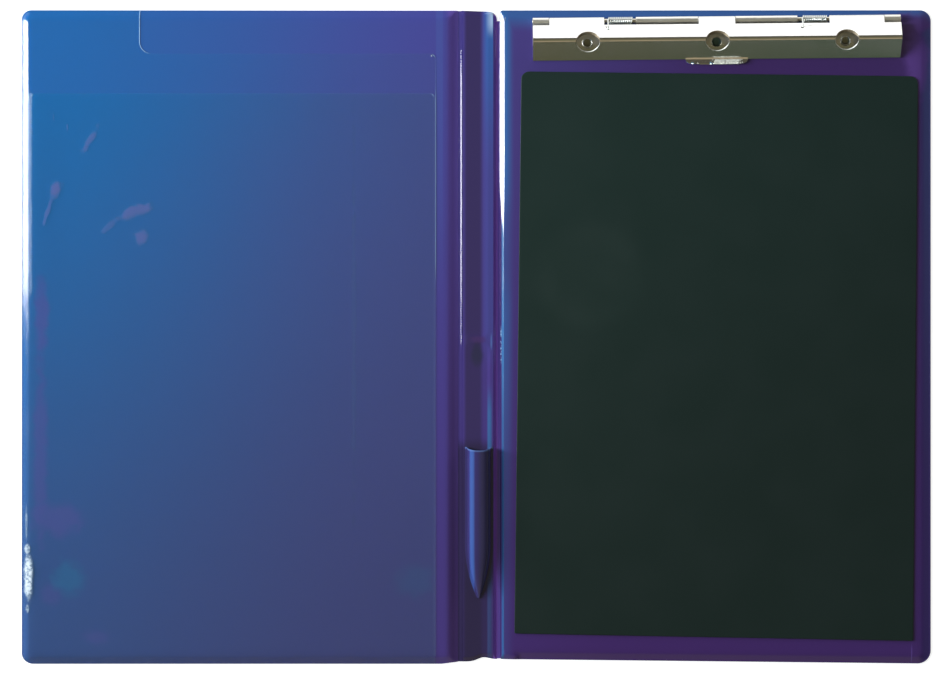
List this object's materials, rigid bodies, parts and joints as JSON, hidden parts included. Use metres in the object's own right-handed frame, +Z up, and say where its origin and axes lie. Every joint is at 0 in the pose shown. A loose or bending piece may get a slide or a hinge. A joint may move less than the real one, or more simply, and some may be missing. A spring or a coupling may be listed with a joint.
{
  "type": "clipboard folder",
  "caption": "Open A4 clipboard folder of welded film over board, with a folding spine, a pen pouch, clear pockets, a writing mat and a wide sprung clip.",
  "frame": {"origin": "centre of the open folder's footprint, on the surface it lies on", "axes": "+X across the open folder from the front cover to the back cover, +Y along the spine towards the clip, +Z up from the table"},
  "size_m": [0.4792, 0.3446, 0.0133],
  "materials": {
    "blue_film": "smooth glossy soft PVC film",
    "pouch_film": "thick glossy formed PVC film",
    "clear_film": "clear glossy PVC film",
    "grey_board": "pressed grey board",
    "writing_mat": "dark satin mat",
    "base_steel": "bright plated steel",
    "jaw_steel": "bright plated steel, polished",
    "rivet_steel": "plated steel",
    "rod_steel": "drawn steel",
    "spring_steel": "plated spring wire"
  },
  "bodies": {
    "back_cover": {"back_outer_film": "blue_film", "back_board": "grey_board", "back_inner_film": "blue_film", "writing_mat": "writing_mat", "clip_base_plate": "base_steel", "clip_rivets": "rivet_steel", "hinge_rod": "rod_steel", "torsion_spring_left": "spring_steel", "torsion_spring_right": "spring_steel", "back_hinge_weld": "blue_film"},
    "clip_jaw": {"jaw_plate": "jaw_steel"},
    "spine": {"spine_outer_film": "blue_film", "spine_board": "grey_board", "spine_inner_film": "blue_film", "pen_pouch": "pouch_film"},
    "front_cover": {"front_outer_film": "blue_film", "front_board": "grey_board", "front_inner_film": "blue_film", "tall_pocket_film": "clear_film", "short_pocket_film": "clear_film", "front_hinge_weld": "blue_film"}
  },
  "joints": [
    {"name": "spine_hinge", "type": "hinge", "parent": "back_cover", "child": "spine", "pos_m": [0.0117, 0, 0.00035], "axis": [0, 1, 0], "range_deg": [-90, 90], "deforming": ["back_hinge_weld"]},
    {"name": "front_cover_hinge", "type": "hinge", "parent": "spine", "child": "front_cover", "pos_m": [-0.0088, 0, 0.00035], "axis": [0, 1, 0], "range_deg": [-90, 90], "deforming": ["front_hinge_weld"]},
    {"name": "clip_jaw_hinge", "type": "hinge", "parent": "back_cover", "child": "clip_jaw", "pos_m": [0.1264, 0.1667, 0.00505], "axis": [-1, -0.0091, 0], "range_deg": [0, 30], "stiffness_Nm_per_rad": 0.35, "springref_deg": -34.38, "deforming": ["torsion_spring_left", "torsion_spring_right"]}
  ]
}
